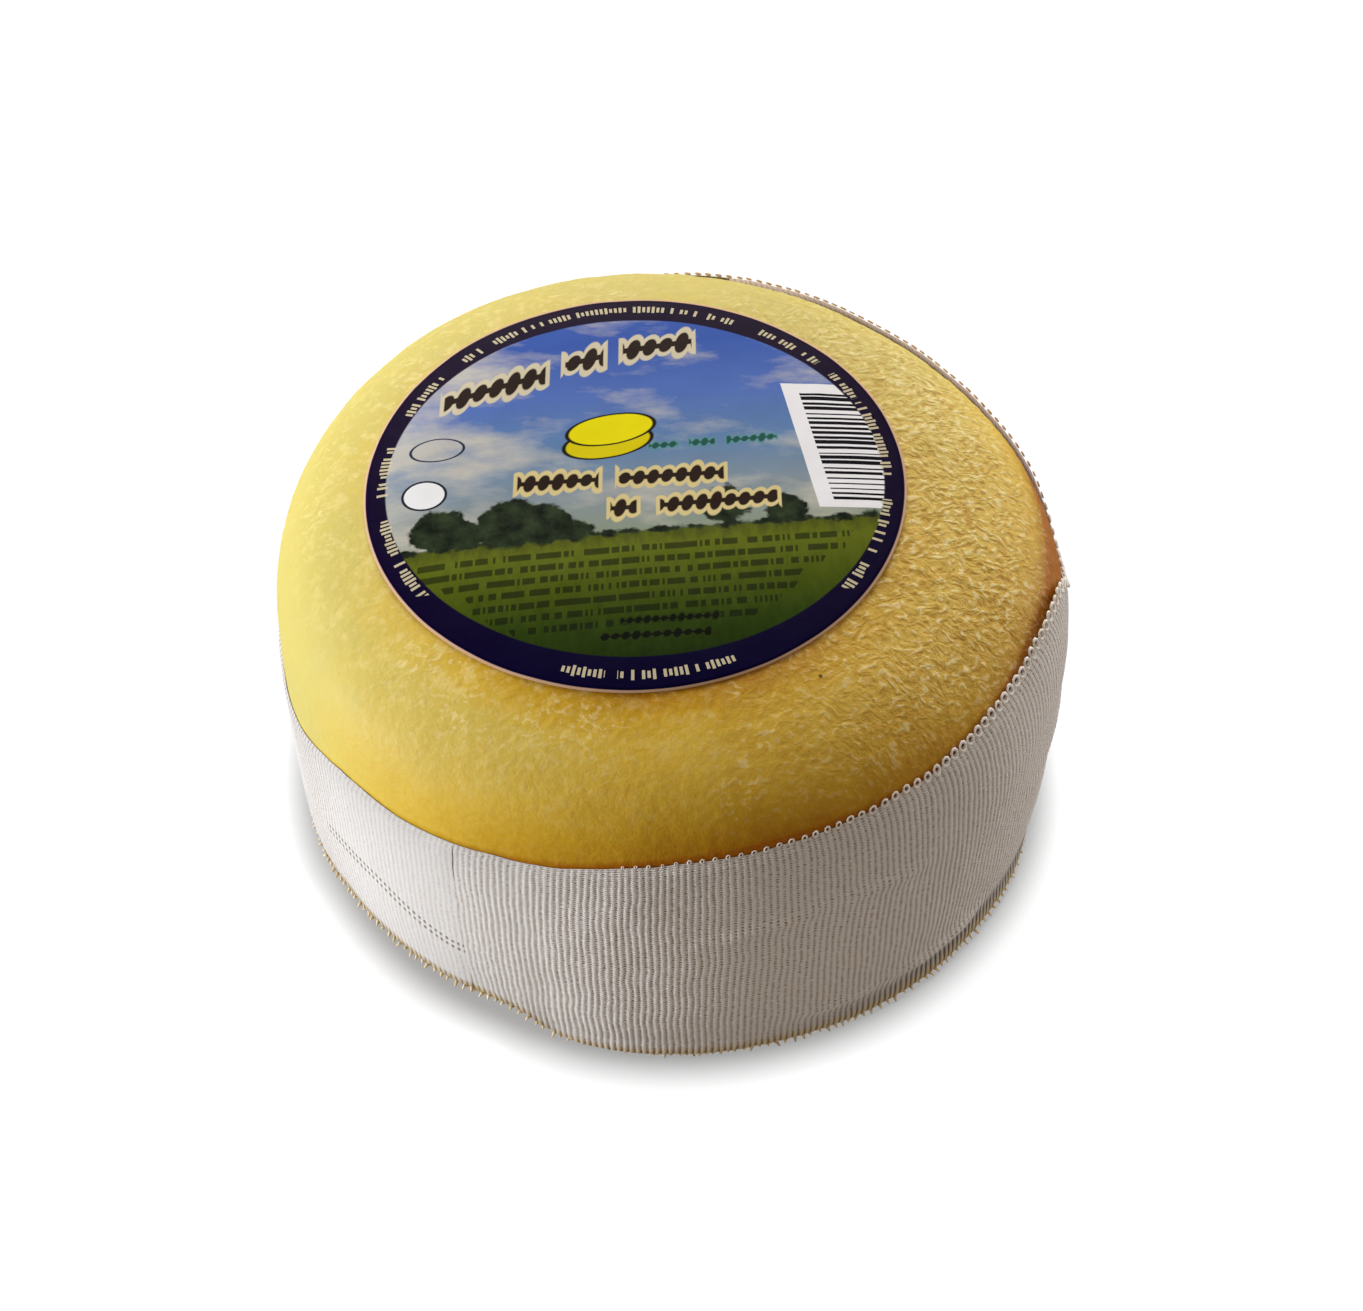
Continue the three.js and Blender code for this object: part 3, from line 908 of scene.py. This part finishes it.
# The meadow, sunlit far off and dark green near by.
near = add(tree, "MapRange", {0: level, 1: 0.0, 2: -0.62}).outputs[0]
grass = add(tree, "VectorMath", {0: spot, 1: (26, 9, 1)}, operation="MULTIPLY").outputs[0]
grass = add(tree, "TexNoise", {"Vector": grass, "Scale": 1, "Detail": 4, "Roughness": 0.7}).outputs[0]
near = add(tree, "Math", {0: grass, 1: 0.35, 2: near}, operation="MULTIPLY_ADD").outputs[0]
near = add(tree, "Math", {0: near, 1: 0.17}, operation="SUBTRACT").outputs[0]
meadow = add(
    tree,
    "ValToRGB",
    {0: near},
    stops=[
        (0.0, linear("#4d5418")),
        (0.12, linear("#636e18")),
        (0.4, linear("#4b590d")),
        (0.7, linear("#2c4008")),
        (1.0, linear("#192805")),
    ],
).outputs[0]
below = add(tree, "MapRange", {0: level, 1: 0.005, 2: -0.005}).outputs[0]
colour = add(tree, "Mix", {0: below, 6: colour, 7: meadow}, data_type="RGBA").outputs[2]
# A hedge along the horizon and a few round trees: middle, as x and height over the horizon, and radius.
TREES = (
    (-0.71, 0.09, 0.1),
    (-0.61, 0.05, 0.07),
    (-0.45, 0.08, 0.12),
    (-0.33, 0.07, 0.1),
    (-0.2, 0.03, 0.05),
    (0.33, 0.1, 0.09),
    (0.55, 0.05, 0.07),
)
ragged = add(tree, "Math", {0: fine, 1: 0.09}, operation="MULTIPLY").outputs[0]
leaves = add(tree, "Math", {0: level}, operation="ABSOLUTE").outputs[0]
leaves = add(tree, "Math", {0: leaves, 1: -0.01}, operation="ADD").outputs[0]
standing = add(tree, "CombineXYZ", {0: x, 1: level}).outputs[0]
for out, up, radius in TREES:
    away = add(tree, "VectorMath", {0: standing, 1: (out, up, 0)}, operation="DISTANCE").outputs["Value"]
    away = add(tree, "Math", {0: away, 1: radius}, operation="SUBTRACT").outputs[0]
    leaves = add(tree, "Math", {0: leaves, 1: away, 2: 0.02}, operation="SMOOTH_MIN").outputs[0]
leaves = add(tree, "Math", {0: leaves, 1: ragged}, operation="ADD").outputs[0]
leaves = add(tree, "MapRange", {0: leaves, 1: 0.052, 2: 0.04}).outputs[0]
rooted = add(tree, "MapRange", {0: level, 1: -0.05, 2: -0.02}).outputs[0]
leaves = add(tree, "Math", {0: leaves, 1: rooted}, operation="MULTIPLY").outputs[0]
foliage = add(
    tree, "ValToRGB", {0: fine}, stops=[(0.35, linear("#10180e")), (0.7, linear("#36442a"))]
).outputs[0]
colour = add(tree, "Mix", {0: leaves, 6: colour, 7: foliage}, data_type="RGBA").outputs[2]

# Rows of fine print on the meadow: dark dashes of uneven length, eight rows along the slope.
PRINT_PITCH = 0.056
row = add(tree, "Math", {0: level, 1: PRINT_PITCH}, operation="DIVIDE").outputs[0]
line = add(tree, "Math", {0: row}, operation="FLOOR").outputs[0]
within = add(tree, "Math", {0: row, 1: 0.5}, operation="PINGPONG").outputs[0]
within = add(tree, "MapRange", {0: within, 1: 0.2, 2: 0.28}).outputs[0]
dash = add(tree, "Math", {0: x, 1: 0.009}, operation="DIVIDE").outputs[0]
dash = add(tree, "Math", {0: dash}, operation="FLOOR").outputs[0]
dash = add(tree, "CombineXYZ", {0: dash, 1: line}).outputs[0]
dash = add(tree, "TexWhiteNoise", {"Vector": dash}, noise_dimensions="2D").outputs[0]
dash = add(tree, "Math", {0: dash, 1: 0.3}, operation="GREATER_THAN").outputs[0]
reach = add(tree, "Math", {0: x}, operation="ABSOLUTE").outputs[0]
reach = add(tree, "Math", {0: level, 1: -0.5, 2: reach}, operation="MULTIPLY_ADD").outputs[0]
indent = add(tree, "TexWhiteNoise", {"W": line}, noise_dimensions="1D").outputs[0]
reach = add(tree, "Math", {0: indent, 1: 0.22, 2: reach}, operation="MULTIPLY_ADD").outputs[0]
reach = add(tree, "Math", {0: reach, 1: 0.84}, operation="LESS_THAN").outputs[0]
rows_low = add(tree, "Math", {0: level, 1: -0.25, 2: 0.2}, operation="COMPARE").outputs[0]
small_print = within
for limit in (dash, reach, rows_low):
    small_print = add(tree, "Math", {0: small_print, 1: limit}, operation="MULTIPLY").outputs[0]
small_print = add(tree, "Math", {0: small_print, 1: 0.7}, operation="MULTIPLY").outputs[0]
colour = add(tree, "Mix", {0: small_print, 6: colour, 7: linear("#0e1406")}, data_type="RGBA").outputs[2]

# Rows of ovals in place of the bigger words: start, end, half height, pitch, ink, outline ink, outline.
BROWN, CREAM, BUFF, BLACK = "#2a1c14", "#d3c9ac", "#dccb90", "#0c1105"
WORDS = (
    ((-0.725, 0.4), (-0.34, 0.54), 0.07, 0.062, BROWN, CREAM, 0.014),
    ((-0.27, 0.59), (-0.12, 0.64), 0.07, 0.062, BROWN, CREAM, 0.014),
    ((-0.05, 0.665), (0.22, 0.725), 0.07, 0.062, BROWN, CREAM, 0.014),
    ((-0.432, -0.045), (-0.13, -0.025), 0.052, 0.052, BROWN, BUFF, 0.012),
    ((-0.06, -0.02), (0.33, 0.01), 0.052, 0.052, BROWN, BUFF, 0.012),
    ((-0.09, -0.17), (0.01, -0.16), 0.052, 0.052, BROWN, BUFF, 0.012),
    ((0.09, -0.155), (0.523, -0.11), 0.052, 0.052, BROWN, BUFF, 0.012),
    ((0.05, 0.145), (0.16, 0.155), 0.026, 0.032, "#23584a", "#5f93a0", 0.004),
    ((0.2, 0.16), (0.3, 0.17), 0.026, 0.032, "#23584a", "#5f93a0", 0.004),
    ((0.34, 0.175), (0.53, 0.195), 0.026, 0.032, "#23584a", "#5f93a0", 0.004),
    ((-0.05, -0.7), (0.3, -0.675), 0.022, 0.03, BLACK, "#2a3a0c", 0.003),
    ((-0.12, -0.77), (0.27, -0.745), 0.024, 0.036, BLACK, "#2a3a0c", 0.003),
)
for count, (start, end, half_height, pitch, ink, outline_ink, outline) in enumerate(WORDS):
    away = word(start, end, half_height, pitch, count * 5.3)
    outlined = add(tree, "MapRange", {0: away, 1: outline + 0.002, 2: outline - 0.002}).outputs[0]
    filled = add(tree, "MapRange", {0: away, 1: 0.0, 2: -0.004}).outputs[0]
    colour = add(tree, "Mix", {0: outlined, 6: colour, 7: linear(outline_ink)}, data_type="RGBA").outputs[2]
    colour = add(tree, "Mix", {0: filled, 6: colour, 7: linear(ink)}, data_type="RGBA").outputs[2]

# Plain ovals: middle, half sizes, tilt, ink, and the edge's ink and width as a share.
OVALS = (
    ((-0.735, 0.15), (0.105, 0.06), 4, None, "#1c2c44", 0.1),
    ((-0.77, -0.08), (0.085, 0.075), 0, "#eef0f2", "#1b1f2c", 0.12),
    ((-0.1, 0.165), (0.175, 0.08), 14, "#dccb00", "#17140a", 0.09),
    ((-0.09, 0.235), (0.175, 0.08), 14, "#ece000", "#17140a", 0.09),
)
for middle, half_sizes, tilt, ink, edge_ink, edge_share in OVALS:
    away = oval(middle, half_sizes, tilt)
    edged = add(tree, "MapRange", {0: away, 1: 1.02, 2: 0.98}).outputs[0]
    core = add(tree, "MapRange", {0: away, 1: 1.02 - edge_share, 2: 0.98 - edge_share}).outputs[0]
    bare = colour
    colour = add(tree, "Mix", {0: edged, 6: colour, 7: linear(edge_ink)}, data_type="RGBA").outputs[2]
    filling = bare if ink is None else linear(ink)
    colour = add(tree, "Mix", {0: core, 6: colour, 7: filling}, data_type="RGBA").outputs[2]

# A white panel on the right with plain bars across it.
BAR_PITCH = 0.026
slant = add(tree, "Math", {0: y, 1: 0.1855, 2: x}, operation="MULTIPLY_ADD").outputs[0]
slant = add(tree, "Math", {0: slant, 1: 0.6416}, operation="SUBTRACT").outputs[0]
panel = add(tree, "Math", {0: slant, 1: 0.0}, operation="GREATER_THAN").outputs[0]
panel_rows = add(tree, "Math", {0: y, 1: 0.158, 2: 0.325}, operation="COMPARE").outputs[0]
panel = add(tree, "Math", {0: panel, 1: panel_rows}, operation="MULTIPLY").outputs[0]
colour = add(tree, "Mix", {0: panel, 6: colour, 7: linear("#f1f1f4")}, data_type="RGBA").outputs[2]
bar_row = add(tree, "Math", {0: y, 1: BAR_PITCH}, operation="DIVIDE").outputs[0]
bar_share = add(tree, "Math", {0: bar_row}, operation="FRACT").outputs[0]
bar_row = add(tree, "Math", {0: bar_row}, operation="FLOOR").outputs[0]
bar_width = add(tree, "TexWhiteNoise", {"W": bar_row}, noise_dimensions="1D").outputs[0]
bar_width = add(tree, "MapRange", {0: bar_width, 1: 0.0, 2: 1.0, 3: 0.22, 4: 0.82}).outputs[0]
bar = add(tree, "Math", {0: bar_share, 1: bar_width}, operation="LESS_THAN").outputs[0]
bar_columns = add(tree, "Math", {0: slant, 1: 0.06}, operation="GREATER_THAN").outputs[0]
bar_rows = add(tree, "Math", {0: y, 1: 0.146, 2: 0.286}, operation="COMPARE").outputs[0]
for limit in (bar_columns, bar_rows):
    bar = add(tree, "Math", {0: bar, 1: limit}, operation="MULTIPLY").outputs[0]
colour = add(tree, "Mix", {0: bar, 6: colour, 7: linear("#0c0a12")}, data_type="RGBA").outputs[2]

# The dark ring round the picture, with pale ticks in place of words, one in so many degrees, and a thin
# bare paper rim. The window is a little wider than it is high.
WINDOW = (0.918, 0.857)
TICK_PITCH = 1.15
beyond = oval((0, 0), WINDOW)
ring_ink = add(tree, "MapRange", {0: y, 1: -0.9, 2: 0.9}).outputs[0]
ring_ink = add(
    tree, "ValToRGB", {0: ring_ink}, stops=[(0.0, linear("#08022a")), (1.0, linear("#190724"))]
).outputs[0]
ring_edge = add(tree, "MapRange", {0: beyond, 1: 0.996, 2: 1.002}).outputs[0]
colour = add(tree, "Mix", {0: ring_edge, 6: colour, 7: ring_ink}, data_type="RGBA").outputs[2]
out = add(tree, "VectorMath", {0: spot}, operation="LENGTH").outputs["Value"]
bearing = add(tree, "Math", {0: y, 1: x}, operation="ARCTAN2").outputs[0]
bearing = add(tree, "Math", {0: bearing}, operation="DEGREES").outputs[0]
tick = add(tree, "Math", {0: bearing, 1: TICK_PITCH}, operation="DIVIDE").outputs[0]
tick_place = add(tree, "Math", {0: tick, 1: 0.5}, operation="PINGPONG").outputs[0]
tick_number = add(tree, "Math", {0: tick}, operation="FLOOR").outputs[0]
tick_chance = add(tree, "TexWhiteNoise", {"W": tick_number}, noise_dimensions="1D").outputs
tall = add(tree, "MapRange", {0: tick_chance["Value"], 1: 0.0, 2: 1.0, 3: 0.009, 4: 0.022}).outputs[0]
tick_middle = add(tree, "MapRange", {0: y, 1: -0.9, 2: 0.9, 3: 0.93, 4: 0.928}).outputs[0]
off = add(tree, "Math", {0: out, 1: tick_middle}, operation="SUBTRACT").outputs[0]
off = add(tree, "Math", {0: off}, operation="ABSOLUTE").outputs[0]
upright = add(tree, "Math", {0: off, 1: tall}, operation="LESS_THAN").outputs[0]
thin = add(tree, "Math", {0: tick_place, 1: 0.2}, operation="GREATER_THAN").outputs[0]
spaced = add(tree, "Math", {0: tick_chance["Value"], 1: 0.2}, operation="GREATER_THAN").outputs[0]
words = add(tree, "TexNoise", {"W": bearing, "Scale": 0.09, "Detail": 0}, noise_dimensions="1D").outputs[0]
words = add(tree, "Math", {0: words, 1: 0.33}, operation="GREATER_THAN").outputs[0]
upper = add(tree, "Math", {0: y, 1: -0.55}, operation="GREATER_THAN").outputs[0]
bottom_row = add(tree, "Math", {0: bearing, 1: -87.0, 2: 19.0}, operation="COMPARE").outputs[0]
lettered = add(tree, "Math", {0: upper, 1: bottom_row}, operation="MAXIMUM").outputs[0]
for limit in (upright, thin, spaced, words):
    lettered = add(tree, "Math", {0: lettered, 1: limit}, operation="MULTIPLY").outputs[0]
lettered = add(tree, "Math", {0: lettered, 1: 0.85}, operation="MULTIPLY").outputs[0]
colour = add(tree, "Mix", {0: lettered, 6: colour, 7: linear("#d8cdaa")}, data_type="RGBA").outputs[2]
rim = add(tree, "MapRange", {0: out, 1: 0.99, 2: 0.993}).outputs[0]
colour = add(tree, "Mix", {0: rim, 6: colour, 7: linear("#cfab8d")}, data_type="RGBA").outputs[2]
cockled = add(tree, "TexNoise", {"Vector": spot, "Scale": 9, "Detail": 3, "Roughness": 0.5}).outputs[0]
bump = add(tree, "Bump", {"Strength": 0.3, "Distance": 0.4 * MM, "Height": cockled}).outputs[0]
shader = add(
    tree,
    "BsdfPrincipled",
    {"Base Color": colour, "Roughness": 0.45, "Specular IOR Level": 0.02, "Normal": bump},
)
tree.links.new(shader.outputs[0], surface.inputs[0])

label = finished("round_label", bm, printed_paper)
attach(label, "root")
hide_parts("paper_label")
